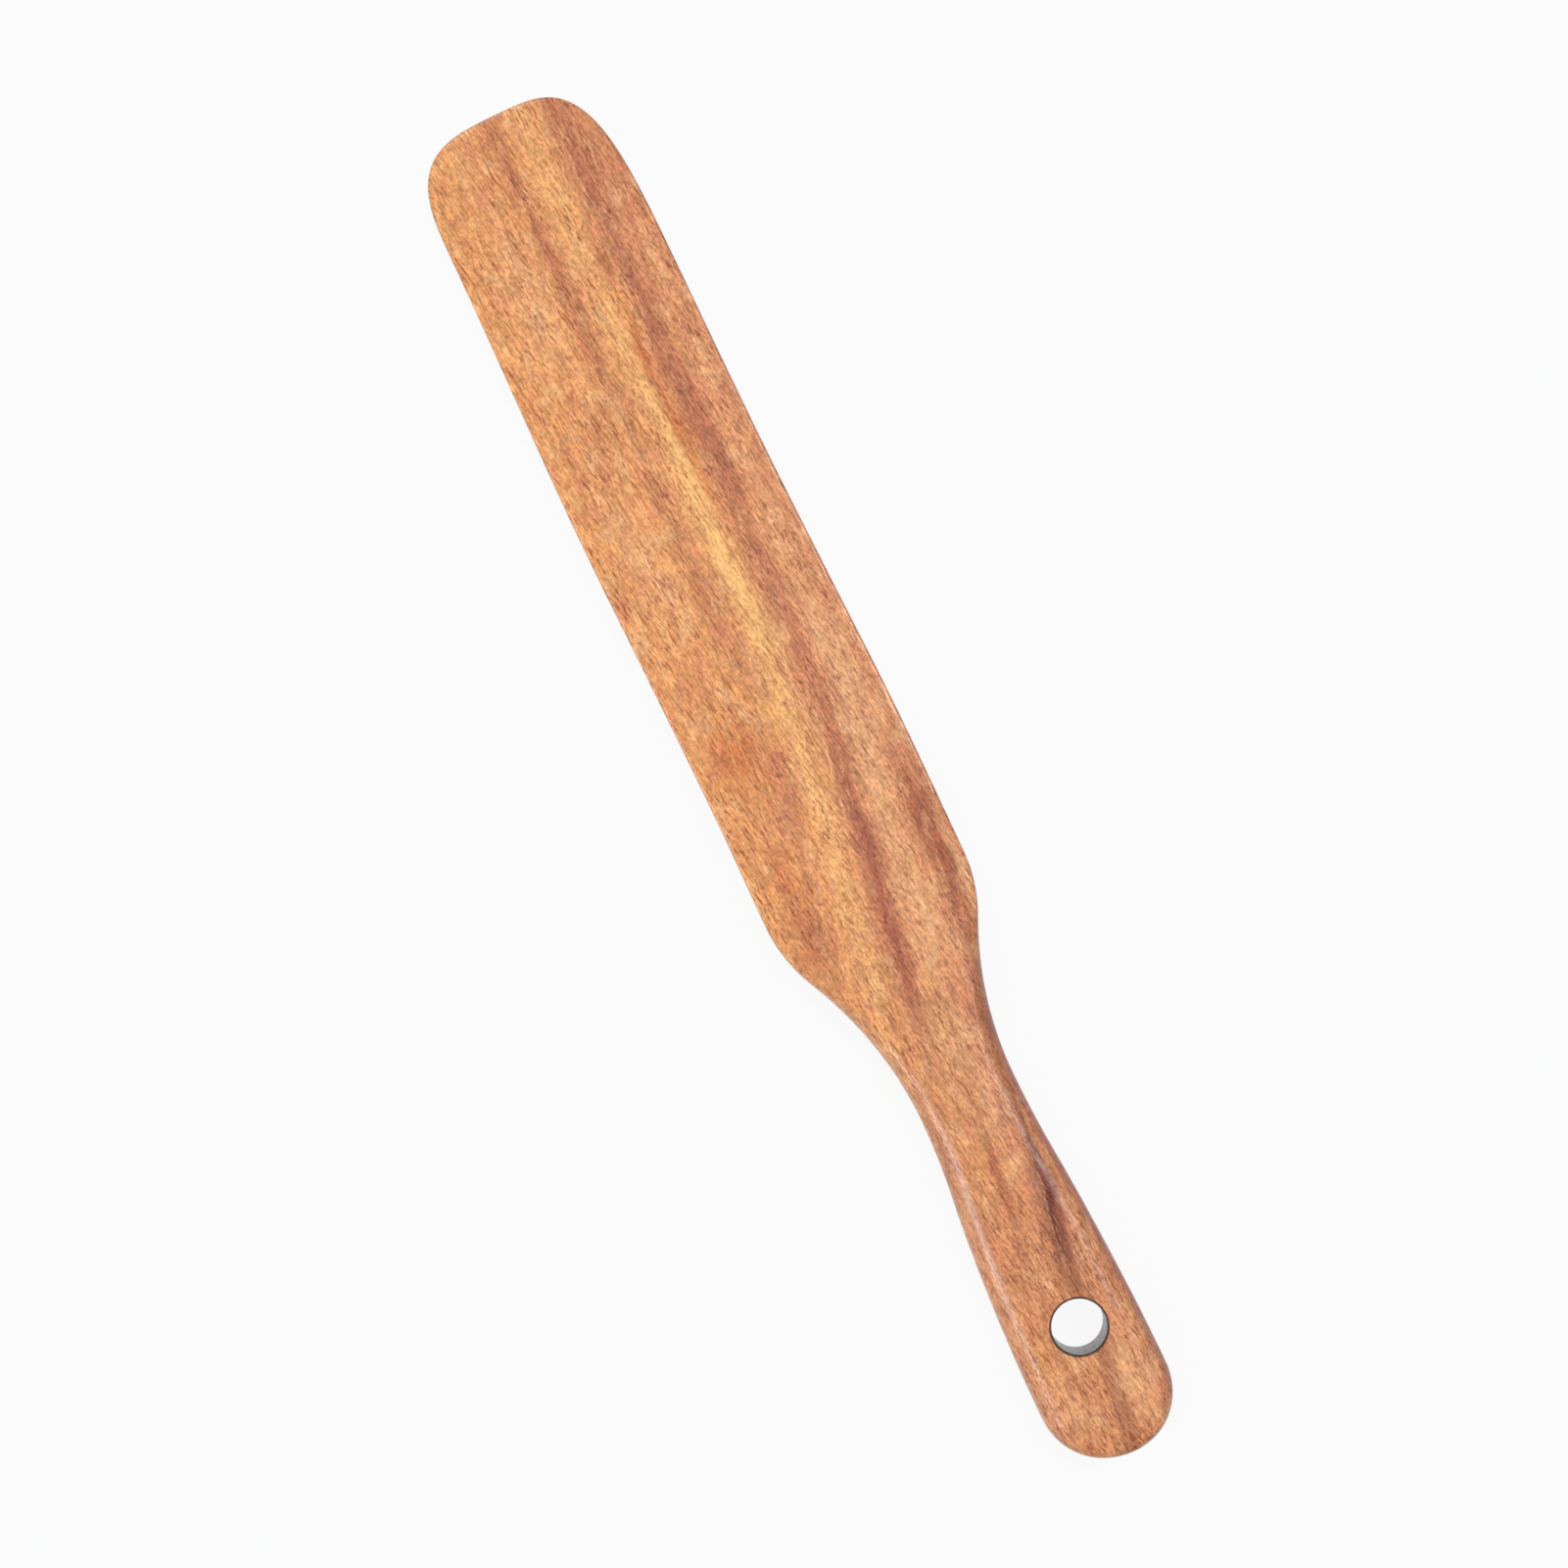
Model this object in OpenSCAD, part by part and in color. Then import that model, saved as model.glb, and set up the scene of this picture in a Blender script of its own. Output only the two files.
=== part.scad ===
// Flat wooden spatula with a hang hole, cut from one board.
//
// The long axis is X: the blade's tip is at +X and the handle's end at -X.
// The flat back lies on z = 0, the front faces +Z, and Y runs across the board.
// The origin is the middle of the box, on the back. All sizes are in mm.
//
// "Station" below means a distance from the handle's end, measured along X.
// "Left" is the +Y side and "right" the -Y side, seen from the front with the tip up.

/* [Overall] */
// whole length, from the tip to the handle's end
total_length = 320; // [280:5:400]
// thickness of the handle in its middle
handle_thickness = 12; // [9:0.5:18]

/* [Handle] */
// length of the handle's end, up to where the grip is widest
end_length = 15; // [14:1:30]
// length of the grip, from its widest place to the neck
grip_length = 69; // [40:1:80]
// length of the curve from the neck out to the shoulders
shoulder_length = 50; // [35:1:70]
// width of the grip at its widest place
grip_width = 29.6; // [26:0.2:36]
// width of the neck, the narrowest place
neck_width = 22.5; // [18:0.5:26]
// part of the grip's side that bulges outward, the rest is hollow
grip_bulge_share = 0.74; // [0.3:0.02:0.8]
// part of the shoulder curve that bends outward, the rest is hollow
shoulder_bulge_share = 0.3; // [0.2:0.05:0.6]
// length over which the handle's end is rounded in plan
end_round_length = 14; // [12:1:16]

/* [Blade] */
// width of the blade at the shoulders
shoulder_width = 45.8; // [40:0.2:70]
// width of the blade at the tip, before the corners are rounded
tip_width = 43; // [40:0.5:70]
// outward bow of each side of the blade, halfway along
blade_swell = 0.35; // [0:0.05:3]
// length of the left corner's rounding
left_corner_length = 24; // [16:1:60]
// length of the right corner's rounding
right_corner_length = 41; // [16:1:60]
// squareness of the left corner, where 2 is an ellipse and more is squarer
left_corner_squareness = 3.2; // [2:0.1:4.5]
// squareness of the right corner
right_corner_squareness = 3.8; // [2:0.1:4.5]
// thickness that the blade's taper would have at the shoulders
shoulder_thickness = 7.5; // [5:0.5:9]
// thickness of the blade at the tip
tip_thickness = 2.5; // [1.5:0.1:4]
// length past the neck over which the handle thins into the blade
thinning_length = 75; // [50:5:120]

/* [Hand-cut drift] */
// sideways drift of the grip's middle
grip_drift = 0.4; // [-2:0.1:2]
// sideways drift of the neck's middle
neck_drift = -0.45; // [-2:0.05:2]
// how much nearer the tip the left shoulder lies than the right one
shoulder_stagger = 3; // [-6:0.5:6]
// sideways waver of the blade's middle line
blade_waver = 0.35; // [0:0.05:1]
// length of one whole waver
waver_length = 128; // [80:4:200]

/* [Edges] */
// radius of the rounding cut along the front edges; the thinner blade lies below most of it
handle_front_round = 6; // [3:0.5:6.5]
// width in plan of the handle's back rounding
handle_back_round = 4.5; // [2:0.5:7]
// radius of the front and back roundings at the handle's end
end_round = 2.4; // [1:0.2:4]
// radius that eases the corner which the cut rounding leaves at the front
front_ease = 1.1; // [0.4:0.1:2]
// width in plan of the blade's back rounding
blade_back_round = 0.8; // [0.4:0.1:2]
// height of the back rounding as a part of the thickness
back_round_share = 0.32; // [0.2:0.02:0.38]
// rise of the handle's front from its edge rounding to its middle
handle_crown = 0.4; // [0:0.1:1]
// rise of the blade's front from its edge rounding to its middle
blade_crown = 0.15; // [0:0.05:0.5]

/* [Hang hole] */
// diameter of the hang hole
hole_diameter = 12; // [6:0.5:14]
// distance from the handle's end to the middle of the hang hole
hole_from_end = 29.7; // [24:0.1:40]
// sideways offset of the hang hole from the middle of the board
hole_offset = -0.5; // [-2:0.1:2]
// width of the broken edge round each rim of the hang hole
rim_chamfer = 0.6; // [0.2:0.1:1]

/* [Hidden] */
// stations of the places that the outline is built on
grip_station = end_length;
neck_station = grip_station + grip_length;
shoulder_station = neck_station + shoulder_length;
blade_length = total_length - shoulder_station;
// height of the handle's front edge above the back, before it is rounded
handle_rim = handle_thickness - handle_crown;

// the plan of the handle's end is an ellipse
end_squareness = 2;
// the blade's back rounding and crown are reached this far past the shoulders
rounding_runout = 30;
// most of the edge's height that the cut rounding and the easing may take
greatest_round_share = 0.6;
greatest_ease_share = 0.42;
// least length of the easing, which keeps its facets apart where there is no corner to ease
least_ease = 0.3;

// least rise of an arc, which keeps its radius finite
least_rise = 0.001;
// degrees in one radian
radian = 180 / PI;

// numbers of facets along and round the body
tip_steps = 18;
blade_steps = 15;
shoulder_steps = 16;
grip_steps = 14;
end_steps = 14;
back_round_steps = 3;
front_round_steps = 5;
ease_steps = 3;
crown_steps = 6;
hole_facets = 96;
// overlap of the cutting tools past the surfaces that they cut
cut_overlap = 1;

// smooth step from 0 to 1 with level ends
function eased(t) = let(c = min(max(t, 0), 1)) c * c * (3 - 2 * c);

// value that passes from a to b as t goes from 0 to 1
function blend(a, b, t) = a + (b - a) * t;

// parabola that is 0 at both ends and 1 in the middle
function bow(t) = 4 * t * (1 - t);

// height of a rise made of two tangent arcs with level ends, over a run of the given length;
// the first arc takes first_share of the run
function arc_rise(distance, run, rise, first_share) =
    let(
        size = abs(rise),
        radii = (size * size + run * run) / (2 * max(size, least_rise)),
        first_radius = radii * first_share,
        last_radius = radii - first_radius,
        joint = run * first_share,
        near = min(max(distance, 0), joint),
        far = run - min(max(distance, joint), run),
        height = distance < joint
            ? first_radius - sqrt(first_radius * first_radius - near * near)
            : size - last_radius + sqrt(last_radius * last_radius - far * far)
    )
    sign(rise) * height;

// share of the full width that a rounded end leaves at a distance from that end
function end_share(distance, length, squareness) =
    distance >= length
        ? 1
        : pow(1 - pow(1 - max(distance, 0) / length, squareness), 1 / squareness);

// distance from the axis to one side of the blade, past that side's own shoulder
function blade_reach(past, length, side) =
    blend(shoulder_width, tip_width, past / length) / 2
        + blade_swell * bow(past / length)
        - side * blade_waver * sin(360 * past / waver_length);

// distance from the axis to one side before the ends are rounded, where side is 1 on the left
// and -1 on the right
function side_reach(station, side) =
    let(
        grip = grip_width / 2 + side * grip_drift,
        neck = neck_width / 2 + side * neck_drift,
        full_station = shoulder_station + side * shoulder_stagger / 2
    )
    station <= grip_station ? grip
    : station < neck_station
        ? grip + arc_rise(station - grip_station, grip_length, neck - grip, grip_bulge_share)
    : station < full_station
        ? neck + arc_rise(station - neck_station, full_station - neck_station,
            shoulder_width / 2 - neck, 1 - shoulder_bulge_share)
    : blade_reach(station - full_station, total_length - full_station, side);

// distance from the axis to the edge of one side
function edge_distance(station, side) =
    side_reach(station, side)
        * end_share(station, end_round_length, end_squareness)
        * end_share(total_length - station,
            side > 0 ? left_corner_length : right_corner_length,
            side > 0 ? left_corner_squareness : right_corner_squareness);

// thickness in the middle of the board at a station
function thickness(station) =
    let(
        along = (station - shoulder_station) / blade_length,
        blade = blend(shoulder_thickness, tip_thickness, along),
        thinned = eased((station - neck_station) / thinning_length)
    )
    blend(handle_thickness, blade, thinned);

// how far a station is from the handle's back rounding and crown (0) to the blade's (1)
function blade_like(station) =
    eased((station - neck_station) / (shoulder_length + rounding_runout));

// rise of the front from its edge to its middle at a station
function crown(station) = blend(handle_crown, blade_crown, blade_like(station));

// height of the front's edge above the back at a station, before it is eased
function rim_height(station) = thickness(station) - crown(station);

// radius of the rounding cut along the front edges at a station
function cut_radius(station) =
    min(
        blend(end_round, handle_front_round, eased(station / end_length)),
        greatest_round_share * handle_rim
    );

// width in plan of the back rounding at a station
function back_round(station) =
    blend(
        blend(end_round, handle_back_round, eased(station / end_length)),
        blade_back_round,
        blade_like(station)
    );

// distance from a rounded end for an even walk round it, where part goes from 0 to 1
function end_walk(part, length, squareness) =
    length * (1 - pow(cos(90 * part), 2 / squareness));

// stations of the sections, from the handle's end to the tip
tip_length = max(left_corner_length, right_corner_length);
tip_station = total_length - tip_length;
tip_squareness = min(left_corner_squareness, right_corner_squareness);
stations = concat(
    [for (i = [0 : end_steps - 1])
        end_walk((i + 0.5) / end_steps, end_round_length, end_squareness)],
    [for (i = [0 : grip_steps - 1])
        blend(end_round_length, neck_station, i / grip_steps)],
    [for (i = [0 : shoulder_steps - 1])
        blend(neck_station, shoulder_station, i / shoulder_steps)],
    [for (i = [0 : blade_steps - 1])
        blend(shoulder_station, tip_station, i / blade_steps)],
    [for (i = [0 : tip_steps - 1])
        total_length
            - end_walk(1 - (i + 0.5) / tip_steps, tip_length, tip_squareness)]
);
last = len(stations) - 1;

// the two edges in plan, and the shift that puts the middle of the box on the axis
left_edge = [for (s = stations) [s, edge_distance(s, 1)]];
right_edge = [for (s = stations) [s, -edge_distance(s, -1)]];
left_most = max([for (p = left_edge) p.y]);
right_most = min([for (p = right_edge) p.y]);
centring = [-total_length / 2, -(left_most + right_most) / 2, 0];

// unit vector that points into the board from point i of an edge, where side is 1 on the left
// and -1 on the right; at the two ends the walk goes on to the opposite edge
function inward(edge, opposite, side, i) =
    let(
        before = i == 0 ? opposite[0] : edge[i - 1],
        after = i == last ? opposite[last] : edge[i + 1],
        along = after - before
    )
    side * [along.y, -along.x] / norm(along);

// profiles below are [inset, height] points: inset is measured into the board from its edge

// point on the upright side and the cut rounding above it, at a distance walked up from the foot
// of the rounding; the walk is negative on the upright side
function on_cut(walk, radius) =
    let(
        foot = handle_rim - radius,
        turn = walk / radius * radian
    )
    walk < 0
        ? [0, foot + walk]
        : [radius * (1 - cos(turn)), foot + radius * sin(turn)];

// walk up the cut rounding to where the front face meets it
function walk_to_front(rim, radius) =
    let(rise = rim - (handle_rim - radius))
    rise < 0 ? rise : radius * asin(min(rise / radius, 1)) / radian;

// point on a parabola that eases the corner between two points
function eased_corner(from, corner, to, part) =
    blend(blend(from, corner, part), blend(corner, to, part), part);

// front half of the profile at a station: the upright side, the cut rounding as far as the front
// face leaves it, and the eased corner between the two
function front_profile(station) =
    let(
        rim = rim_height(station),
        radius = cut_radius(station),
        top_walk = walk_to_front(rim, radius),
        corner = on_cut(top_walk, radius),
        corner_turn = 90 - max(top_walk, 0) / radius * radian,
        ease_radius = min(front_ease, greatest_ease_share * rim),
        ease_length = max(ease_radius * tan(corner_turn / 2), least_ease),
        ease_walk = top_walk - ease_length,
        back_walk = back_round_share * rim - (handle_rim - radius),
        first_walk = min(0, (back_walk + ease_walk) / 2)
    )
    concat(
        [for (k = [0 : front_round_steps])
            on_cut(blend(first_walk, ease_walk, k / front_round_steps), radius)],
        [for (k = [1 : ease_steps])
            eased_corner(on_cut(ease_walk, radius), corner, corner + [ease_length, 0],
                k / ease_steps)]
    );

// back half of the profile at a station: a quarter ellipse up from the flat back
function back_profile(station) =
    [for (k = [0 : back_round_steps])
        let(turn = 90 * k / back_round_steps)
        [back_round(station) * (1 - sin(turn)),
            back_round_share * rim_height(station) * (1 - cos(turn))]];

// points of one side's profile at section i, from the back face up to the front face
function side_profile(edge, opposite, side, i) =
    let(inside = inward(edge, opposite, side, i))
    [for (p = concat(back_profile(stations[i]), front_profile(stations[i])))
        let(plan = edge[i] + inside * p[0])
        [plan.x, plan.y, p[1]]];

// points across the front from one profile's top to the other's, on a shallow crown
function front_points(start, end, rise) =
    [for (k = [1 : crown_steps - 1])
        let(part = k / crown_steps)
        blend(start, end, part) + [0, 0, rise * bow(part)]];

// closed section i: up the left side, across the front, and down the right side
function section(i) =
    let(
        left = side_profile(left_edge, right_edge, 1, i),
        right = side_profile(right_edge, left_edge, -1, i),
        top = len(left) - 1
    )
    concat(
        left,
        front_points(left[top], right[top], crown(stations[i])),
        [for (k = [0 : top]) right[top - k]]
    );

// triangles of the skin between two neighbouring sections of n points
function skin(i, n) =
    [for (k = [0 : n - 1])
        let(
            next = (k + 1) % n,
            a = i * n + k,
            b = i * n + next
        )
        each [[a, a + n, b + n], [a, b + n, b]]];

// triangles that close a section of n points, paired across its two sides
function cap(start, n, flipped) =
    let(half = floor((n - 1) / 2))
    [for (k = [0 : half - 1])
        let(
            a = start + k,
            b = start + k + 1,
            c = start + n - 2 - k,
            d = start + n - 1 - k,
            faces = b == c ? [[a, b, d]] : [[a, b, c], [a, c, d]]
        )
        for (f = faces) flipped ? [f[2], f[1], f[0]] : f];

// the whole board, lofted through its sections, without the hang hole
module board() {
    sections = [for (i = [0 : last]) section(i)];
    n = len(sections[0]);
    points = [for (s = sections) each s];
    faces = concat(
        [for (i = [0 : last - 1]) each skin(i, n)],
        cap(0, n, false),
        cap(last * n, n, true)
    );
    polyhedron(points = points, faces = faces, convexity = 4);
}

// the hang hole with its two broken rims
module hang_hole_cut() {
    radius = hole_diameter / 2;
    rim_radius = radius + rim_chamfer;
    front = thickness(hole_from_end);
    translate([hole_from_end, 0, 0]) {
        translate([0, 0, -cut_overlap])
            cylinder(h = front + 2 * cut_overlap, r = radius, $fn = hole_facets);
        translate([0, 0, -cut_overlap])
            cylinder(h = rim_chamfer + cut_overlap,
                r1 = rim_radius + cut_overlap, r2 = radius, $fn = hole_facets);
        translate([0, 0, front - rim_chamfer])
            cylinder(h = rim_chamfer + cut_overlap,
                r1 = radius, r2 = rim_radius + cut_overlap, $fn = hole_facets);
    }
}

module spatula() {
    color([0.72, 0.45, 0.25])
        translate(centring)
            difference() {
                board();
                translate([0, hole_offset - centring.y, 0])
                    hang_hole_cut();
            }
}

spatula();
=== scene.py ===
import math

import bmesh
import bpy
from mathutils import Matrix, Vector, noise


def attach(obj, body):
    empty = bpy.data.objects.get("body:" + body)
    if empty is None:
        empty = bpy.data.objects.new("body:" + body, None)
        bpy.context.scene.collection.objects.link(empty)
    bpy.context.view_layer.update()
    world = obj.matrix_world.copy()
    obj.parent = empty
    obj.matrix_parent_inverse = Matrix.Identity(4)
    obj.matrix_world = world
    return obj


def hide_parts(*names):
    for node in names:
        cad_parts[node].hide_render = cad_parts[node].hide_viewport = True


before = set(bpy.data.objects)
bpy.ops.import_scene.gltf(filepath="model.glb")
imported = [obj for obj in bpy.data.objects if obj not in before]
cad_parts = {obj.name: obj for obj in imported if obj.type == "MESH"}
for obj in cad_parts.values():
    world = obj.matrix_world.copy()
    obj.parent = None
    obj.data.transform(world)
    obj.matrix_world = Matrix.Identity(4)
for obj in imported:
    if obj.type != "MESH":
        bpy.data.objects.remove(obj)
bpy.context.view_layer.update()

# Lengths are in millimetres until a mesh or a place is made, and MM turns them into metres.
# A station is a distance from the handle's end, measured along the board.
# A side is 1 on the left (+Y) and -1 on the right.
MM = 0.001

# outline, with the same values as the part's source
TOTAL_LENGTH = 320.0
HANDLE_THICKNESS = 12.0
GRIP_STATION = 15.0
NECK_STATION = 84.0
SHOULDER_STATION = 134.0
BLADE_LENGTH = TOTAL_LENGTH - SHOULDER_STATION
GRIP_WIDTH = 29.6
NECK_WIDTH = 22.5
SHOULDER_WIDTH = 45.8
TIP_WIDTH = 43.0
GRIP_BULGE_SHARE = 0.74
SHOULDER_BULGE_SHARE = 0.3
END_ROUND_LENGTH = 14.0
END_SQUARENESS = 2.0
CORNER_LENGTH = {1: 24.0, -1: 41.0}
CORNER_SQUARENESS = {1: 3.2, -1: 3.8}
BLADE_SWELL = 0.35
GRIP_DRIFT = 0.4
NECK_DRIFT = -0.45
SHOULDER_STAGGER = 3.0
BLADE_WAVER = 0.35
WAVER_LENGTH = 128.0

# thickness
SHOULDER_THICKNESS = 7.5
TIP_THICKNESS = 2.5
THINNING_LENGTH = 75.0
HANDLE_CROWN = 0.4
BLADE_CROWN = 0.15
HANDLE_RIM = HANDLE_THICKNESS - HANDLE_CROWN
ROUNDING_RUNOUT = 80.0

# edges
BACK_ROUND_SHARE = 0.32
BACK_ROUND = ((0, 2.4), (15, 4.5), (84, 4.5), (164, 0.8))
CUT_RADIUS = {
    1: ((0, 2.4), (15, 6.0), (66, 6.0), (104, 5.0), (131, 4.5)),
    -1: ((0, 2.4), (15, 6.0), (84, 5.6), (104, 5.2)),
}
EASE_RADIUS = {
    1: ((84, 0.9), (104, 0.8), (132, 0.8), (150, 1.0)),
    -1: ((84, 0.8), (104, 0.6), (132, 0.6), (150, 1.0)),
}
# width and slope of the flat that was sanded on the right shoulder
FACET_SIDE = -1
FACET_WIDTH = ((96, 0.0), (115, 3.1), (127, 3.9), (136, 2.2), (152, 0.0))
FACET_SLOPE = 0.5
FACET_BLEND = 0.5
GREATEST_EASE_SHARE = 0.42
LEAST_EASE = 0.3

# hang hole
HOLE_RADIUS = 6.0
HOLE_STATION = 29.7
HOLE_OFFSET = -0.5
RIM_ROUND = 0.6
# the hole's cutter stands out of the board by this much, and its rounding starts at this turn
CUTTER_OVERHANG = 0.6
RIM_START_DEGREES = 14

# numbers of divisions of the fine mesh
END_STEPS = 40
BODY_STEPS = 330
TIP_STEPS = 52
BACK_STEPS = 6
CUT_STEPS = 12
EASE_STEPS = 6
HOLE_STEPS = 160
RIM_STEPS = 6
ACROSS_STEPS = 24
SUPPORT_WIDTH = 0.25
GREATEST_MARGIN = 0.2
# the fine mesh is this much shorter than the solid, so that it never stands out of it
LENGTH_TRIM = 0.9998

def eased(t):
    """Smooth step from 0 to 1 with level ends."""
    t = min(max(t, 0.0), 1.0)
    return t * t * (3 - 2 * t)

def blend(a, b, t):
    return a + (b - a) * t

def bow(t):
    return 4 * t * (1 - t)

def through(points, x):
    """Smooth line through (x, y) points, level beyond its ends."""
    if x <= points[0][0]:
        return points[0][1]
    for (x0, y0), (x1, y1) in zip(points, points[1:]):
        if x <= x1:
            return blend(y0, y1, eased((x - x0) / (x1 - x0)))
    return points[-1][1]

def arc_rise(distance, run, rise, first_share):
    """Height of a rise made of two tangent arcs with level ends."""
    size = abs(rise)
    radii = (size * size + run * run) / (2 * size)
    first_radius = radii * first_share
    last_radius = radii - first_radius
    if distance < run * first_share:
        height = first_radius - math.sqrt(first_radius ** 2 - distance ** 2)
    else:
        height = size - last_radius + math.sqrt(last_radius ** 2 - (run - distance) ** 2)
    return math.copysign(height, rise)

def end_share(distance, length, squareness):
    """Share of the full width that a rounded end leaves at a distance from that end."""
    if distance >= length:
        return 1.0
    inside = 1 - max(distance, 0.0) / length
    return (1 - inside ** squareness) ** (1 / squareness)

def side_reach(station, side):
    """Distance from the axis to one side, before the ends are rounded."""
    grip = GRIP_WIDTH / 2 + side * GRIP_DRIFT
    neck = NECK_WIDTH / 2 + side * NECK_DRIFT
    full_station = SHOULDER_STATION + side * SHOULDER_STAGGER / 2
    if station <= GRIP_STATION:
        return grip
    if station < NECK_STATION:
        run = NECK_STATION - GRIP_STATION
        return grip + arc_rise(station - GRIP_STATION, run, neck - grip, GRIP_BULGE_SHARE)
    if station < full_station:
        run = full_station - NECK_STATION
        rise = SHOULDER_WIDTH / 2 - neck
        return neck + arc_rise(station - NECK_STATION, run, rise, 1 - SHOULDER_BULGE_SHARE)
    past = station - full_station
    along = past / (TOTAL_LENGTH - full_station)
    waver = side * BLADE_WAVER * math.sin(2 * math.pi * past / WAVER_LENGTH)
    return blend(SHOULDER_WIDTH, TIP_WIDTH, along) / 2 + BLADE_SWELL * bow(along) - waver

def edge_distance(station, side):
    return (side_reach(station, side)
            * end_share(station, END_ROUND_LENGTH, END_SQUARENESS)
            * end_share(TOTAL_LENGTH - station, CORNER_LENGTH[side], CORNER_SQUARENESS[side]))

def thickness(station):
    along = (station - SHOULDER_STATION) / BLADE_LENGTH
    blade = blend(SHOULDER_THICKNESS, TIP_THICKNESS, along)
    return blend(HANDLE_THICKNESS, blade, eased((station - NECK_STATION) / THINNING_LENGTH))

def crown(station):
    return blend(HANDLE_CROWN, BLADE_CROWN, eased((station - NECK_STATION) / ROUNDING_RUNOUT))

def on_cut(walk, radius):
    """Inset and height on the upright side and the cut rounding, at a walk from its foot."""
    foot = HANDLE_RIM - radius
    if walk < 0:
        return Vector((0, foot + walk))
    turn = walk / radius
    return Vector((radius * (1 - math.cos(turn)), foot + radius * math.sin(turn)))

def softer_max(a, b, reach):
    """Greater of two values, with the change from one to the other blended over a reach."""
    share = min(max(0.5 + 0.5 * (a - b) / reach, 0.0), 1.0)
    return blend(b, a, share) + reach * share * (1 - share)

def front_profile(station, side):
    """Upright side, cut rounding and eased corner, as (inset, height) points."""
    rim = thickness(station) - crown(station)
    radius = through(CUT_RADIUS[side], station)
    rise = rim - (HANDLE_RIM - radius)
    top_walk = rise if rise < 0 else radius * math.asin(min(rise / radius, 1.0))
    corner_turn = math.pi / 2 - max(top_walk, 0.0) / radius
    ease_radius = min(through(EASE_RADIUS[side], station), GREATEST_EASE_SHARE * rim)
    ease_length = max(ease_radius * math.tan(corner_turn / 2), LEAST_EASE)
    ease_walk = top_walk - ease_length
    back_walk = BACK_ROUND_SHARE * rim - (HANDLE_RIM - radius)
    first_walk = min(0.0, (back_walk + ease_walk) / 2)
    points = [on_cut(blend(first_walk, ease_walk, k / CUT_STEPS), radius) for k in range(CUT_STEPS + 1)]
    start = points[-1]
    corner = on_cut(top_walk, radius)
    end = corner + Vector((ease_length, 0))
    for k in range(1, EASE_STEPS + 1):
        part = k / EASE_STEPS
        points.append(start.lerp(corner, part).lerp(corner.lerp(end, part), part))
    facet = through(FACET_WIDTH, station) if side == FACET_SIDE else 0.0
    if facet > 0:
        for p in points:
            flat_inset = facet - (rim - p.y) / FACET_SLOPE
            p.x = softer_max(p.x, flat_inset, min(FACET_BLEND, facet))
    return points

def back_profile(station):
    """Quarter ellipse up from the flat back, as (inset, height) points."""
    rim = thickness(station) - crown(station)
    width = through(BACK_ROUND, station)
    turns = [math.radians(90 * k / BACK_STEPS) for k in range(BACK_STEPS + 1)]
    return [Vector((width * (1 - math.sin(t)), BACK_ROUND_SHARE * rim * (1 - math.cos(t)))) for t in turns]

def end_walk(part, length, squareness):
    """Distance from a rounded end for an even walk round it."""
    return length * (1 - math.cos(math.pi / 2 * part) ** (2 / squareness))

def make_stations():
    tip_length = max(CORNER_LENGTH.values())
    tip_squareness = min(CORNER_SQUARENESS.values())
    tip_start = TOTAL_LENGTH - tip_length
    end = [end_walk((i + 0.5) / END_STEPS, END_ROUND_LENGTH, END_SQUARENESS) for i in range(END_STEPS)]
    body = [blend(END_ROUND_LENGTH, tip_start, i / BODY_STEPS) for i in range(BODY_STEPS)]
    tip = [TOTAL_LENGTH - end_walk(1 - (i + 0.5) / TIP_STEPS, tip_length, tip_squareness)
           for i in range(TIP_STEPS)]
    return end + body + tip

def across_parts(width):
    """Shares of the way across the front, with one close to each edge to keep its shading crisp."""
    margin = min(SUPPORT_WIDTH / max(width, SUPPORT_WIDTH), GREATEST_MARGIN)
    return [blend(margin, 1 - margin, k / ACROSS_STEPS) for k in range(ACROSS_STEPS + 1)]

def board_sections():
    stations = make_stations()
    edges = {side: [Vector((s, side * edge_distance(s, side))) for s in stations] for side in (1, -1)}
    shift = -(max(p.y for p in edges[1]) + min(p.y for p in edges[-1])) / 2
    last = len(stations) - 1
    sections = []
    for i, station in enumerate(stations):
        sides = {}
        for side in (1, -1):
            before = edges[-side][0] if i == 0 else edges[side][i - 1]
            after = edges[-side][last] if i == last else edges[side][i + 1]
            along = (after - before).normalized()
            inward = side * Vector((along.y, -along.x))
            sides[side] = []
            for inset, height in back_profile(station) + front_profile(station, side):
                plan = edges[side][i] + inward * inset
                sides[side].append(Vector((plan.x, plan.y, height)))
        start, end = sides[1][-1], sides[-1][-1]
        rise = Vector((0, 0, crown(station)))
        across = [start.lerp(end, t) + rise * bow(t) for t in across_parts((start - end).length)]
        sections.append(sides[1] + across + sides[-1][::-1])
    half = TOTAL_LENGTH / 2
    return [[Vector(((p.x - half) * LENGTH_TRIM, p.y + shift, p.z)) for p in section] for section in sections]

def link_mesh(name, mesh):
    bmesh.ops.recalc_face_normals(mesh, faces=mesh.faces)
    data = bpy.data.meshes.new(name)
    mesh.to_mesh(data)
    mesh.free()
    thing = bpy.data.objects.new(name, data)
    bpy.context.scene.collection.objects.link(thing)
    return thing

def skin(mesh, rings):
    """Quads between rings of equal length."""
    n = len(rings[0])
    for a, b in zip(rings, rings[1:]):
        for k in range(n):
            j = (k + 1) % n
            mesh.faces.new((a[k], a[j], b[j], b[k]))

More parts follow.
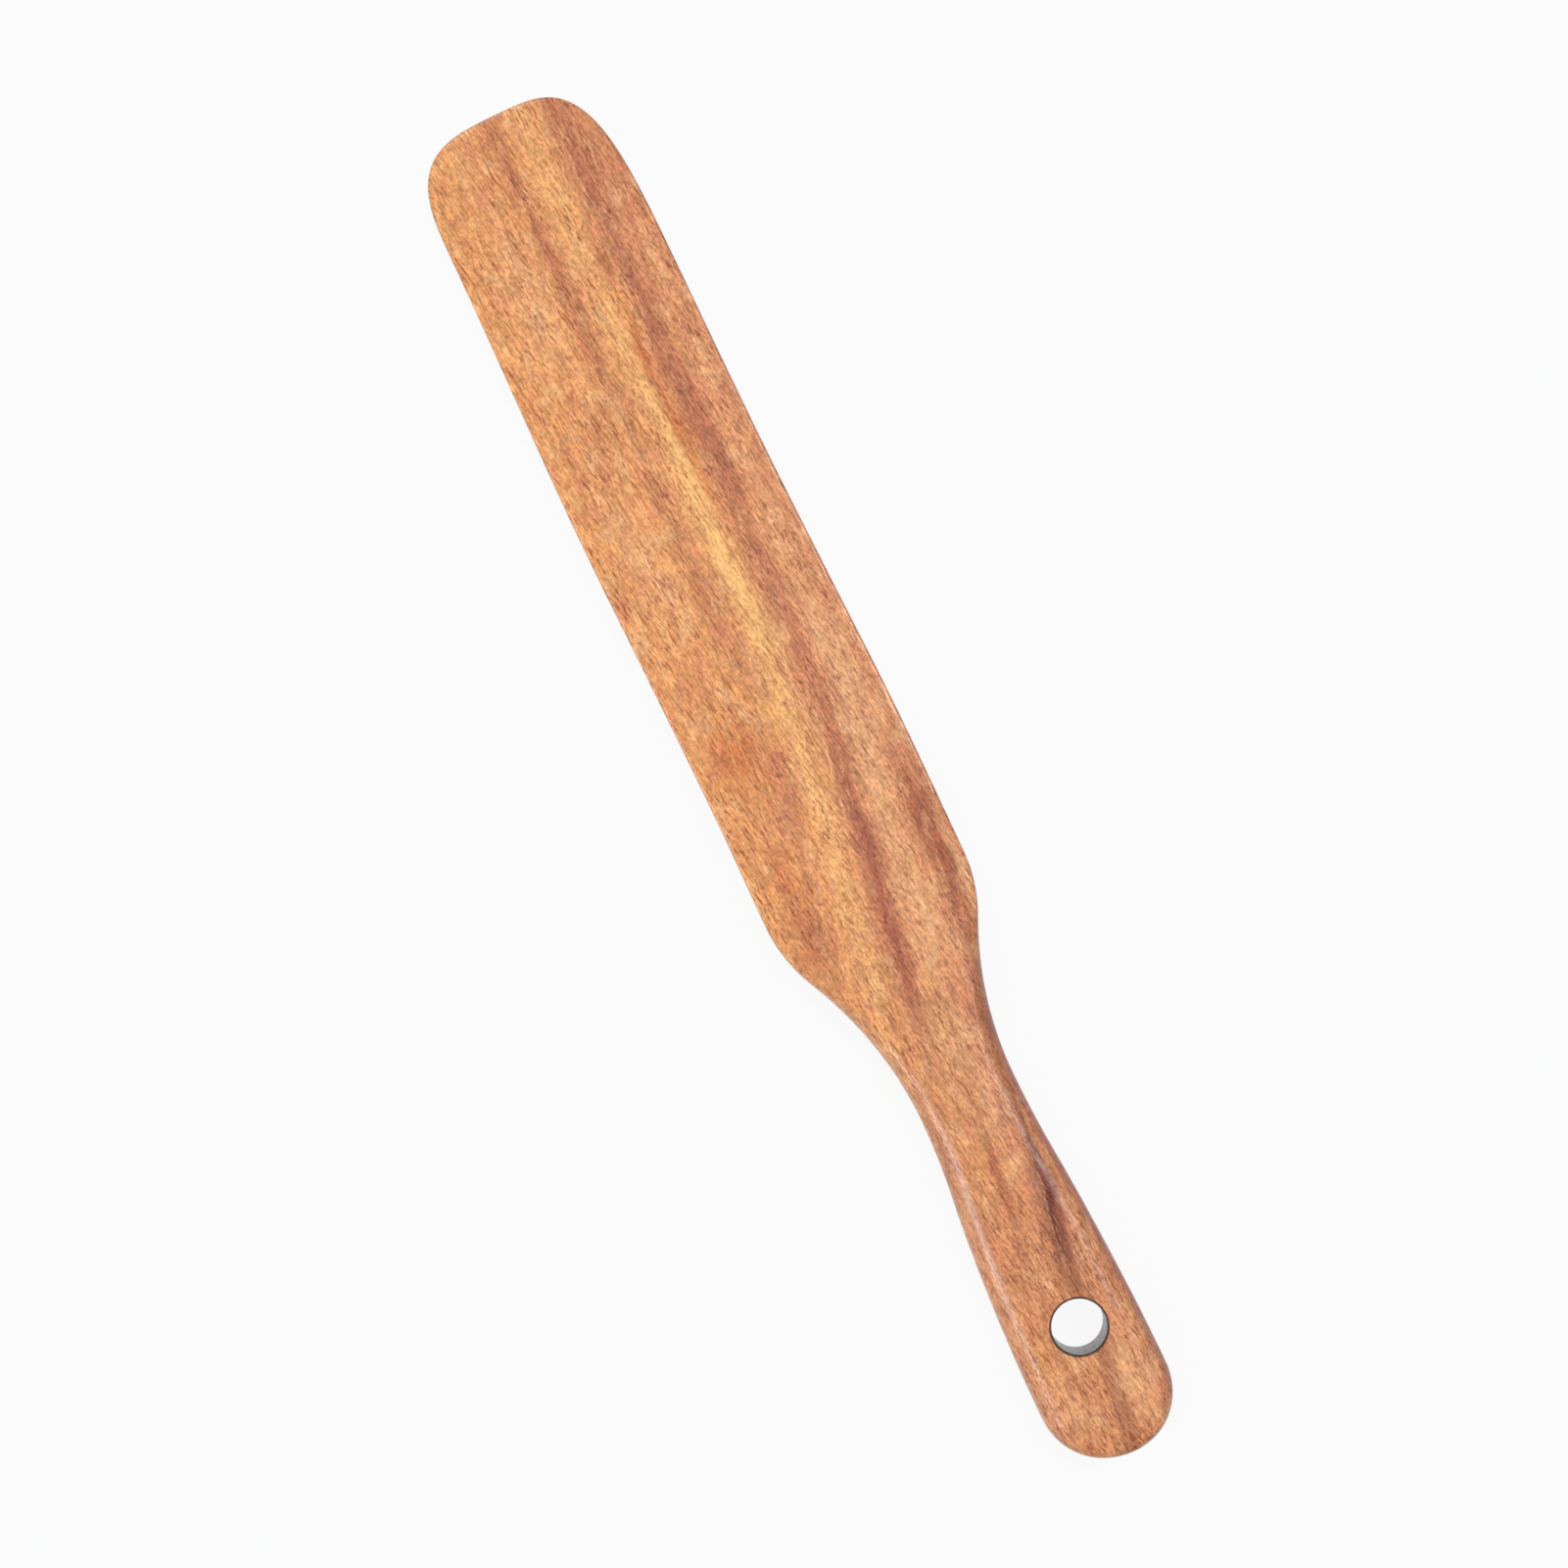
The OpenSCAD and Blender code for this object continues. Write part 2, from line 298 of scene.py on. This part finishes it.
def loft(name, sections):
    """Closed skin through the sections, with its two ends filled in."""
    mesh = bmesh.new()
    rings = [[mesh.verts.new(p * MM) for p in section] for section in sections]
    skin(mesh, rings)
    n = len(rings[0])
    for ring in (rings[0], rings[-1]):
        for k in range((n - 1) // 2):
            corners = dict.fromkeys([ring[k], ring[k + 1], ring[n - 2 - k], ring[n - 1 - k]])
            mesh.faces.new(list(corners))
    return link_mesh(name, mesh)

# mean depth of the slight unevenness that sanding by hand leaves, the size of its lumps across
# the board, how much longer they are along it, and the height over which it fades out above the back
SANDING_DEPTH = 0.07
SANDING_SIZE = 11.0
SANDING_STRETCH = 2.2
SANDING_FADE = 3.0

def sand_by_hand(thing):
    """Presses the surface in by up to twice the mean depth, and leaves the flat back alone."""
    normals = [v.normal.copy() for v in thing.data.vertices]
    for vertex, normal in zip(thing.data.vertices, normals):
        place = vertex.co / MM
        lump = Vector((place.x / SANDING_STRETCH, place.y, place.z)) / SANDING_SIZE
        depth = SANDING_DEPTH * (1 + noise.noise(lump)) * eased(place.z / SANDING_FADE)
        vertex.co -= normal * depth * MM

def hole_cutter():
    """Spool that cuts the hang hole and rounds both of its rims."""
    mouth = [(HOLE_RADIUS + RIM_ROUND + CUTTER_OVERHANG, -CUTTER_OVERHANG)]
    for k in range(RIM_STEPS + 1):
        turn = math.radians(blend(RIM_START_DEGREES, 90, k / RIM_STEPS))
        mouth.append((HOLE_RADIUS + RIM_ROUND * (1 - math.sin(turn)), RIM_ROUND * (1 - math.cos(turn))))
    profile = mouth + [(r, HANDLE_THICKNESS - z) for r, z in mouth[::-1]]
    mesh = bmesh.new()
    rings = []
    turns = [2 * math.pi * k / HOLE_STEPS for k in range(HOLE_STEPS)]
    for r, z in profile:
        rings.append([mesh.verts.new(Vector((r * math.cos(t), r * math.sin(t), z)) * MM) for t in turns])
    skin(mesh, rings)
    mesh.faces.new(rings[0])
    mesh.faces.new(rings[-1])
    cutter = link_mesh("cutter", mesh)
    cutter.location = Vector((HOLE_STATION - TOTAL_LENGTH / 2, HOLE_OFFSET, 0)) * MM
    return cutter

def cut(thing, cutter):
    modifier = thing.modifiers.new("hole", "BOOLEAN")
    modifier.operation = "DIFFERENCE"
    modifier.solver = "EXACT"
    modifier.object = cutter
    bpy.context.view_layer.update()
    graph = bpy.context.evaluated_depsgraph_get()
    data = bpy.data.meshes.new_from_object(thing.evaluated_get(graph))
    thing.modifiers.clear()
    thing.data = data
    bpy.data.objects.remove(cutter)

# an edge that turns by more than this stays crisp
SHARP_DEGREES = 34

def smooth_shading(thing):
    mesh = bmesh.new()
    mesh.from_mesh(thing.data)
    for face in mesh.faces:
        face.smooth = True
    for edge in mesh.edges:
        if len(edge.link_faces) == 2:
            edge.smooth = edge.calc_face_angle(0) < math.radians(SHARP_DEGREES)
    mesh.to_mesh(thing.data)
    mesh.free()

def srgb(r, g, b):
    """Colour written as sRGB bytes, turned into the linear values that shaders take."""
    def one(v):
        v = v / 255
        return v / 12.92 if v <= 0.04045 else ((v + 0.055) / 1.055) ** 2.4
    return (one(r), one(g), one(b), 1)

class Graph:
    """Short names for making and joining a material's nodes."""

    def __init__(self, owner):
        owner.use_nodes = True
        self.tree = owner.node_tree
        self.tree.nodes.clear()

    def node(self, kind, **settings):
        made = self.tree.nodes.new(kind)
        for name, value in settings.items():
            setattr(made, name, value)
        return made

    def feed(self, socket, value):
        if isinstance(value, bpy.types.NodeSocket):
            self.tree.links.new(value, socket)
        else:
            socket.default_value = value

    def math(self, operation, a, b=0.0):
        made = self.node("ShaderNodeMath", operation=operation)
        self.feed(made.inputs[0], a)
        self.feed(made.inputs[1], b)
        return made.outputs[0]

    def add(self, a, b):
        return self.math("ADD", a, b)

    def sub(self, a, b):
        return self.math("SUBTRACT", a, b)

    def mul(self, a, b):
        return self.math("MULTIPLY", a, b)

    def div(self, a, b):
        return self.math("DIVIDE", a, b)

    def step(self, value, low, high, out_low=0.0, out_high=1.0, kind="SMOOTHSTEP"):
        """Value taken from low..high to out_low..out_high, and held beyond."""
        made = self.node("ShaderNodeMapRange", interpolation_type=kind)
        self.feed(made.inputs["Value"], value)
        for name, number in zip(("From Min", "From Max", "To Min", "To Max"), (low, high, out_low, out_high)):
            made.inputs[name].default_value = number
        return made.outputs["Result"]

    def bell(self, value, centre, width):
        """1 where the value is centre, falling off as a bell of that half width."""
        away = self.div(self.sub(value, centre), width)
        return self.math("EXPONENT", self.mul(self.mul(away, away), -1.0))

    def mix(self, factor, a, b, kind="MIX"):
        made = self.node("ShaderNodeMix", data_type="RGBA", blend_type=kind)
        self.feed(made.inputs[0], factor)
        self.feed(made.inputs[6], a)
        self.feed(made.inputs[7], b)
        return made.outputs[2]

    def vector(self, x, y, z):
        made = self.node("ShaderNodeCombineXYZ")
        for socket, value in zip(made.inputs, (x, y, z)):
            self.feed(socket, value)
        return made.outputs[0]

    def noise(self, place, sizes, detail=2.0, roughness=0.5, seed=0.0):
        """Soft noise whose lumps have the given sizes along each part of the place."""
        scaled = [self.add(self.div(value, size), seed) for value, size in zip(place, sizes)]
        made = self.node("ShaderNodeTexNoise")
        self.feed(made.inputs["Vector"], self.vector(*scaled))
        made.inputs["Scale"].default_value = 1.0
        made.inputs["Detail"].default_value = detail
        made.inputs["Roughness"].default_value = roughness
        return made.outputs[0]

    def curve(self, value, points, low, high):
        """Smooth line through the given (value, height) points, over low..high."""
        heights = [y for x, y in points]
        bottom = min(heights)
        span = max(heights) - bottom
        made = self.node("ShaderNodeFloatCurve")
        line = made.mapping.curves[0]
        while len(line.points) < len(points):
            line.points.new(0.5, 0.5)
        for point, (x, y) in zip(line.points, points):
            point.location = ((x - low) / (high - low), (y - bottom) / span)
            point.handle_type = "AUTO_CLAMPED"
        made.mapping.update()
        self.feed(made.inputs["Value"], self.step(value, low, high, kind="LINEAR"))
        return self.add(self.mul(made.outputs[0], span), bottom)

# wood colours
GOLD = srgb(228, 158, 97)
TAN = srgb(213, 143, 97)
PALE_TAN = srgb(238, 181, 129)
BRIGHT_GOLD = srgb(246, 187, 117)
PINK = srgb(219, 140, 99)
MAUVE_BROWN = srgb(170, 96, 70)
RED_BROWN = srgb(160, 80, 50)
DARK_RED = srgb(116, 46, 28)
ORANGE = srgb(202, 112, 56)
PORE_TINT = srgb(184, 132, 102)
# dark grey-brown of the hang hole's wall and rim
DARK_HOLE_WALL = srgb(44, 37, 31)

# ends of the curves along the board
LEAST_X, MOST_X = -160, 160
# how far the streaks have moved across the board at each x
GRAIN_DRIFT = ((-160, 30.0), (-125, 26.5), (-90, 21.6), (-71, 19.5), (-55, 16.7), (-32, 12.1),
               (-4, 7.2), (16, 4.65), (50, 2.9), (82, 1.9), (120, 0.8), (160, 0.0))
# the drift holds at this height, and the streaks move across by this share of the depth below it
GRAIN_LEVEL = 8.0
GRAIN_TILT = 0.25
# streaks as tone, place across, half width, and strength at each x
STREAKS = (
    (PALE_TAN, -20.0, 3.6, ((-160, 0.0), (-60, 0.2), (-30, 0.5), (10, 0.6), (40, 0.2), (160, 0.0))),
    (BRIGHT_GOLD, -6.6, 2.8, ((-160, 0.1), (-60, 0.3), (-20, 0.6), (20, 0.7), (60, 1.0), (110, 0.5),
                              (160, 0.4))),
    (ORANGE, -9.8, 1.5, ((-160, 0.0), (40, 0.0), (70, 0.6), (95, 0.7), (112, 0.2), (160, 0.0))),
    (MAUVE_BROWN, 0.3, 1.7, ((-160, 0.0), (-30, 0.15), (-10, 0.35), (30, 0.2), (60, 0.4), (85, 0.45),
                             (118, 0.6), (160, 0.5))),
    (MAUVE_BROWN, -14.0, 2.2, ((-160, 0.0), (-80, 0.2), (-60, 0.6), (-32, 0.95), (-4, 0.9), (20, 0.55),
                               (50, 0.6), (80, 0.85), (120, 0.7), (160, 0.6))),
    (RED_BROWN, -20.2, 1.4, ((-160, 0.4), (-110, 0.3), (-90, 0.6), (-60, 0.5), (-40, 0.0), (160, 0.0))),
    (DARK_RED, -29.0, 1.9, ((-160, 0.5), (-130, 0.45), (-118, 0.6), (-107, 1.0), (-95, 0.9), (-75, 0.35),
                            (-50, 0.3), (-28, 0.55), (-10, 0.3), (10, 0.0), (160, 0.0))),
)
# patches as tone, x, y, half length, half width and strength
PATCHES = (
    (ORANGE, 11.7, 12.2, 8.0, 4.5, 0.75),
    (RED_BROWN, -31.6, 15.5, 8.0, 4.5, 0.5),
    (ORANGE, -18.0, 15.0, 7.0, 3.0, 0.5),
    (RED_BROWN, 121.0, -8.5, 4.0, 2.0, 0.5),
    (MAUVE_BROWN, -62.0, -11.0, 9.0, 2.6, 0.5),
    (PALE_TAN, 118.0, 10.0, 14.0, 5.0, 0.4),
    (PALE_TAN, 60.0, 13.0, 16.0, 4.0, 0.4),
    (PALE_TAN, -68.0, 0.0, 12.0, 4.5, 0.4),
    (PALE_TAN, -146.0, -5.5, 8.0, 4.0, 0.6),
    (PALE_TAN, -146.0, 8.0, 7.0, 3.0, 0.5),
    (MAUVE_BROWN, 143.0, -18.0, 12.0, 4.0, 0.4),
    # painted shade, in a highlight's mauve tint, along the left rounding of the handle
    (MAUVE_BROWN, -98.0, 10.0, 24.0, 2.4, 0.5),
    (RED_BROWN, -20.0, -18.2, 18.0, 2.2, 0.8),
    # painted highlight on the sanded flat of the right shoulder
    (PALE_TAN, -32.0, -21.2, 10.0, 1.4, 0.8),
)
# lumps of each noise along the board or the pores, across them, and up
SLOW_LUMPS = (26.0, 7.0, 14.0)
QUICK_LUMPS = (6.0, 1.5, 4.0)
BLOTCH_LUMPS = (14.0, 6.0, 9.0)
TINT_LUMPS = (5.5, 3.2, 5.0)
LINE_LUMPS = (60.0, 0.9, 3.0)
CURL_LUMPS = (4.5, 1.7, 3.0)
PORE_LUMPS = (2.0, 0.42, 0.42)
SPECK_LUMPS = (0.9, 0.5, 0.5)
FIBRE_LUMPS = (9.0, 0.6, 0.8)
CROWDING_LUMPS = (16.0, 5.0, 9.0)
# how far the slow and the quick warp carry the streaks to and fro
SLOW_WARP = 5.0
QUICK_WARP = 2.6
# the ground turns from gold to tan over this width, and its blotches shift the change by this much
GROUND_WIDTH = 30.0
BLOTCH_SHIFT = 3.2
# the pores lie this many degrees off the board's length
PORE_LEAN = 8.8
PORE_DARKNESS = 0.75
FIBRE_DARKNESS = 0.45
# strength of the painted shade on the surfaces that face right
PAINTED_RIGHT_SHADE = 0.75
# the darkening of the hang hole starts and is full at these distances outside it
HOLE_DARKENING_START = 0.65
HOLE_DARKENING_FULL = 0.35
HOLE_DARKENING_STRENGTH = 0.93
# gloss of the oiled surface, and how much rougher its pores and specks are
ROUGHNESS = 0.24
PORE_ROUGHNESS = 0.14
SPECK_ROUGHNESS = 0.08
COAT = 0.15
COAT_ROUGHNESS = 0.3
BUMP_STRENGTH = 0.4
BUMP_DEPTH = 0.08

def board_place(g):
    """Place on the board in millimetres, as x, y and z."""
    split = g.node("ShaderNodeSeparateXYZ")
    g.feed(split.inputs[0], g.node("ShaderNodeTexCoord").outputs["Object"])
    return [g.div(part, MM) for part in split.outputs]

def streak_warp(g, place):
    """Distance that the streaks wander to one side, so that none is a clean line."""
    slow = g.noise(place, SLOW_LUMPS, detail=3.0)
    quick = g.noise(place, QUICK_LUMPS, detail=2.0)
    return g.add(g.mul(g.sub(slow, 0.5), SLOW_WARP), g.mul(g.sub(quick, 0.5), QUICK_WARP))

def across_streaks(g, place, warp):
    """Place across the streaks."""
    x, y, z = place
    level = g.add(g.sub(y, g.curve(x, GRAIN_DRIFT, LEAST_X, MOST_X)), warp)
    return g.add(level, g.mul(g.sub(z, GRAIN_LEVEL), GRAIN_TILT))

def ground_colour(g, place, grain):
    """Golden on the left and tan on the right, with soft blotches."""
    blotch = g.noise(place, BLOTCH_LUMPS, detail=3.0)
    shift = g.mul(g.sub(blotch, 0.5), BLOTCH_SHIFT)
    rightness = g.step(g.add(g.div(grain, -GROUND_WIDTH), shift), -0.5, 0.9)
    colour = g.mix(rightness, GOLD, TAN)
    tint = g.noise(place, TINT_LUMPS, detail=2.0, seed=7.3)
    colour = g.mix(g.step(tint, 0.5, 0.68, 0.0, 0.7), colour, PINK)
    return g.mix(g.step(tint, 0.48, 0.32, 0.0, 0.6), colour, PALE_TAN)

def with_figure(g, colour, place, grain, warp):
    """The colour with the streaks and patches laid over it."""
    x, y, z = place
    for tone, centre, width, strength in STREAKS:
        factor = g.mul(g.bell(grain, centre, width), g.curve(x, strength, LEAST_X, MOST_X))
        colour = g.mix(g.math("MINIMUM", factor, 1.0), colour, tone)
    for tone, at_x, at_y, half_length, half_width, strength in PATCHES:
        spot = g.mul(g.bell(x, at_x, half_length), g.bell(g.add(y, warp), at_y, half_width))
        colour = g.mix(g.mul(spot, strength), colour, tone)
    return colour

def with_growth_lines(g, colour, place, grain):
    """The colour with long thin lines, dark and pale, that follow the streaks."""
    x, y, z = place
    lines = g.noise((x, grain, z), LINE_LUMPS, detail=3.0, roughness=0.6)
    colour = g.mix(g.step(lines, 0.52, 0.75, 0.0, 0.45), colour, MAUVE_BROWN)
    return g.mix(g.step(lines, 0.48, 0.28, 0.0, 0.4), colour, PALE_TAN)

def fine_grain(g, place):
    """Noise of the pores and of the specks, and masks of the dark pores and fibres."""
    x, y, z = place
    lean = math.radians(PORE_LEAN)
    along = g.add(g.mul(x, math.cos(lean)), g.mul(y, math.sin(lean)))
    across = g.sub(g.mul(y, math.cos(lean)), g.mul(x, math.sin(lean)))
    leaning = (along, across, z)
    pores = g.noise(leaning, PORE_LUMPS, detail=1.0)
    specks = g.noise(leaning, SPECK_LUMPS, detail=1.0, seed=3.1)
    fibres = g.noise(leaning, FIBRE_LUMPS, detail=2.0, seed=5.7)
    crowding = g.noise(place, CROWDING_LUMPS, detail=2.0, seed=9.4)
    pore_mask = g.mul(g.step(pores, 0.53, 0.68), g.step(crowding, 0.35, 0.62, 0.5, 1.0))
    return pores, specks, pore_mask, g.step(fibres, 0.53, 0.72)

def with_dark_pores(g, colour, pore_mask, fibre_mask):
    """The colour with short dark dashes, which are the pores, and long dark fibres."""
    dark = g.add(g.mul(pore_mask, PORE_DARKNESS), g.mul(fibre_mask, FIBRE_DARKNESS))
    return g.mix(g.math("MINIMUM", dark, 1.0), colour, g.mix(1.0, colour, PORE_TINT, "MULTIPLY"))

def with_shine(g, colour, place, pores, specks):
    """The colour with pale fibre between the pores and the changing shine of curly grain."""
    curl = g.noise(place, CURL_LUMPS, detail=3.0, roughness=0.6, seed=1.9)
    shade = g.mul(g.step(specks, 0.3, 0.7, 0.84, 1.16), g.step(pores, 0.5, 0.3, 1.0, 1.14))
    shade = g.mul(shade, g.step(curl, 0.3, 0.7, 0.86, 1.14))
    return g.mix(1.0, colour, g.vector(shade, shade, shade), "MULTIPLY")

def with_painted_right_shade(g, colour):
    """The colour with painted shade on the surfaces that face right."""
    facing = g.node("ShaderNodeSeparateXYZ")
    g.feed(facing.inputs[0], g.node("ShaderNodeTexCoord").outputs["Normal"])
    side = g.step(facing.outputs[1], -0.6, -0.95, 0.0, PAINTED_RIGHT_SHADE)
    return g.mix(side, colour, g.mix(1.0, colour, MAUVE_BROWN, "MULTIPLY"))

def with_darkened_hole(g, colour, place):
    """The colour darkened on the drilled wall of the hang hole and its rim."""
    x, y, z = place
    off_x = g.math("POWER", g.sub(x, HOLE_STATION - TOTAL_LENGTH / 2), 2.0)
    off_y = g.math("POWER", g.sub(y, HOLE_OFFSET), 2.0)
    outside = g.sub(g.math("SQRT", g.add(off_x, off_y)), HOLE_RADIUS)
    return g.mix(g.step(outside, HOLE_DARKENING_START, HOLE_DARKENING_FULL, 0.0, HOLE_DARKENING_STRENGTH), colour, DARK_HOLE_WALL)

def wood_material():
    """Oiled wood with mauve, red and golden streaks, fine pores, and a darkened hang hole."""
    material = bpy.data.materials.new("oiled_wood")
    g = Graph(material)
    place = board_place(g)
    warp = streak_warp(g, place)
    grain = across_streaks(g, place, warp)
    pores, specks, pore_mask, fibre_mask = fine_grain(g, place)

    colour = ground_colour(g, place, grain)
    colour = with_figure(g, colour, place, grain, warp)
    colour = with_growth_lines(g, colour, place, grain)
    colour = with_dark_pores(g, colour, pore_mask, fibre_mask)
    colour = with_shine(g, colour, place, pores, specks)
    # painted shade on the side that faces right
    colour = with_painted_right_shade(g, colour)
    colour = with_darkened_hole(g, colour, place)

    shader = g.node("ShaderNodeBsdfPrincipled")
    g.feed(shader.inputs["Base Color"], colour)
    rougher = g.add(g.mul(pore_mask, PORE_ROUGHNESS), g.mul(specks, SPECK_ROUGHNESS))
    g.feed(shader.inputs["Roughness"], g.add(ROUGHNESS, rougher))
    shader.inputs["Coat Weight"].default_value = COAT
    shader.inputs["Coat Roughness"].default_value = COAT_ROUGHNESS
    bump = g.node("ShaderNodeBump")
    bump.inputs["Strength"].default_value = BUMP_STRENGTH
    bump.inputs["Distance"].default_value = BUMP_DEPTH * MM
    g.feed(bump.inputs["Height"], g.sub(g.mul(specks, 0.6), g.add(pore_mask, g.mul(fibre_mask, 0.5))))
    g.feed(shader.inputs["Normal"], bump.outputs[0])
    out = g.node("ShaderNodeOutputMaterial")
    g.feed(out.inputs["Surface"], shader.outputs[0])
    return material

def make_spatula():
    spatula = loft("spatula_board", board_sections())
    sand_by_hand(spatula)
    cut(spatula, hole_cutter())
    smooth_shading(spatula)
    spatula.data.materials.clear()
    spatula.data.materials.append(wood_material())
    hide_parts("spatula")
    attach(spatula, "root")

# share of the floor's look that is pure white, grey of the rest, and half its width in metres
FLOOR_WHITENESS = 0.92
FLOOR_GREY = 0.6
FLOOR_HALF_WIDTH = 1.5

def floor_material():
    """Pale floor that looks white to the camera and in reflections, with a faint shadow kept."""
    material = bpy.data.materials.new("floor")
    g = Graph(material)
    paths = g.node("ShaderNodeLightPath")
    mirrored = g.math("MAXIMUM", paths.outputs["Is Glossy Ray"], paths.outputs["Is Transmission Ray"])
    seen = g.math("MAXIMUM", paths.outputs["Is Camera Ray"], mirrored)
    plain = g.node("ShaderNodeBsdfDiffuse")
    plain.inputs["Color"].default_value = (FLOOR_GREY, FLOOR_GREY, FLOOR_GREY, 1)
    white = g.node("ShaderNodeEmission")
    mixed = g.node("ShaderNodeMixShader")
    g.feed(mixed.inputs[0], g.mul(seen, FLOOR_WHITENESS))
    g.feed(mixed.inputs[1], plain.outputs[0])
    g.feed(mixed.inputs[2], white.outputs[0])
    out = g.node("ShaderNodeOutputMaterial")
    g.feed(out.inputs["Surface"], mixed.outputs[0])
    return material

def make_floor():
    half = FLOOR_HALF_WIDTH
    corners = [(-half, -half, 0), (half, -half, 0), (half, half, 0), (-half, half, 0)]
    data = bpy.data.meshes.new("floor")
    data.from_pydata(corners, [], [(0, 1, 2, 3)])
    data.materials.append(floor_material())
    floor = bpy.data.objects.new("floor", data)
    bpy.context.scene.collection.objects.link(floor)

# the photograph's right and up directions, in the row's frame
PHOTO_RIGHT = Vector((-0.43416, -0.90084, 0))
PHOTO_UP = Vector((0.90084, -0.43416, 0))
# the camera looks straight down on this point from this height
CAMERA_OVER = Vector((1.9, 6.0, 0))
CAMERA_HEIGHT = 772.0
# width that the photograph's frame takes in at this height, about the board's middle
FRAME_WIDTH = 339.4
FRAME_HEIGHT = 3.5

def make_camera():
    data = bpy.data.cameras.new("camera")
    data.sensor_width = 36
    data.lens = data.sensor_width * (CAMERA_HEIGHT - FRAME_HEIGHT) / FRAME_WIDTH
    data.clip_end = 10
    camera = bpy.data.objects.new("camera", data)
    turn = Matrix((PHOTO_RIGHT, PHOTO_UP, PHOTO_RIGHT.cross(PHOTO_UP))).transposed().to_4x4()
    place = CAMERA_OVER + Vector((0, 0, CAMERA_HEIGHT))
    camera.matrix_world = Matrix.Translation(place * MM) @ turn
    bpy.context.scene.collection.objects.link(camera)
    bpy.context.scene.camera = camera

# lamps as name, degrees from the zenith, heading in degrees, distance and size in metres, watts, colour
LAMPS = (
    ("top", 45, 0, 2.5, 1.1, 16.0, (1.0, 0.98, 0.96)),
    ("left", 55, 92, 1.3, 0.6, 8.0, (0.92, 0.96, 1.0)),
    ("right", 32, -88, 1.3, 0.45, 7.5, (0.95, 0.97, 1.0)),
)

def make_lamp(name, from_zenith, heading, distance, size, power, colour):
    """Soft square lamp aimed at the board; its heading turns from +X towards +Y."""
    tilt, turn = math.radians(from_zenith), math.radians(heading)
    direction = Vector((math.sin(tilt) * math.cos(turn), math.sin(tilt) * math.sin(turn), math.cos(tilt)))
    data = bpy.data.lights.new(name, "AREA")
    data.shape = "SQUARE"
    data.size = size
    data.energy = power
    data.color = colour
    lamp = bpy.data.objects.new(name, data)
    lamp.location = direction * distance
    lamp.rotation_euler = direction.to_track_quat("Z", "Y").to_euler()
    bpy.context.scene.collection.objects.link(lamp)

WORLD_LIGHT = 0.3
WORLD_COLOUR = (0.95, 0.97, 1.0, 1)

def make_world():
    """Even dim light all round, seen by the camera as white."""
    world = bpy.data.worlds.new("studio")
    bpy.context.scene.world = world
    g = Graph(world)
    light = g.node("ShaderNodeBackground")
    light.inputs["Color"].default_value = WORLD_COLOUR
    light.inputs["Strength"].default_value = WORLD_LIGHT
    white = g.node("ShaderNodeBackground")
    white.inputs["Color"].default_value = (1, 1, 1, 1)
    mixed = g.node("ShaderNodeMixShader")
    g.feed(mixed.inputs[0], g.node("ShaderNodeLightPath").outputs["Is Camera Ray"])
    g.feed(mixed.inputs[1], light.outputs[0])
    g.feed(mixed.inputs[2], white.outputs[0])
    out = g.node("ShaderNodeOutputWorld")
    g.feed(out.inputs["Surface"], mixed.outputs[0])

bpy.context.scene.view_settings.view_transform = "Standard"
make_spatula()
make_floor()
make_camera()
make_world()
for lamp in LAMPS:
    make_lamp(*lamp)
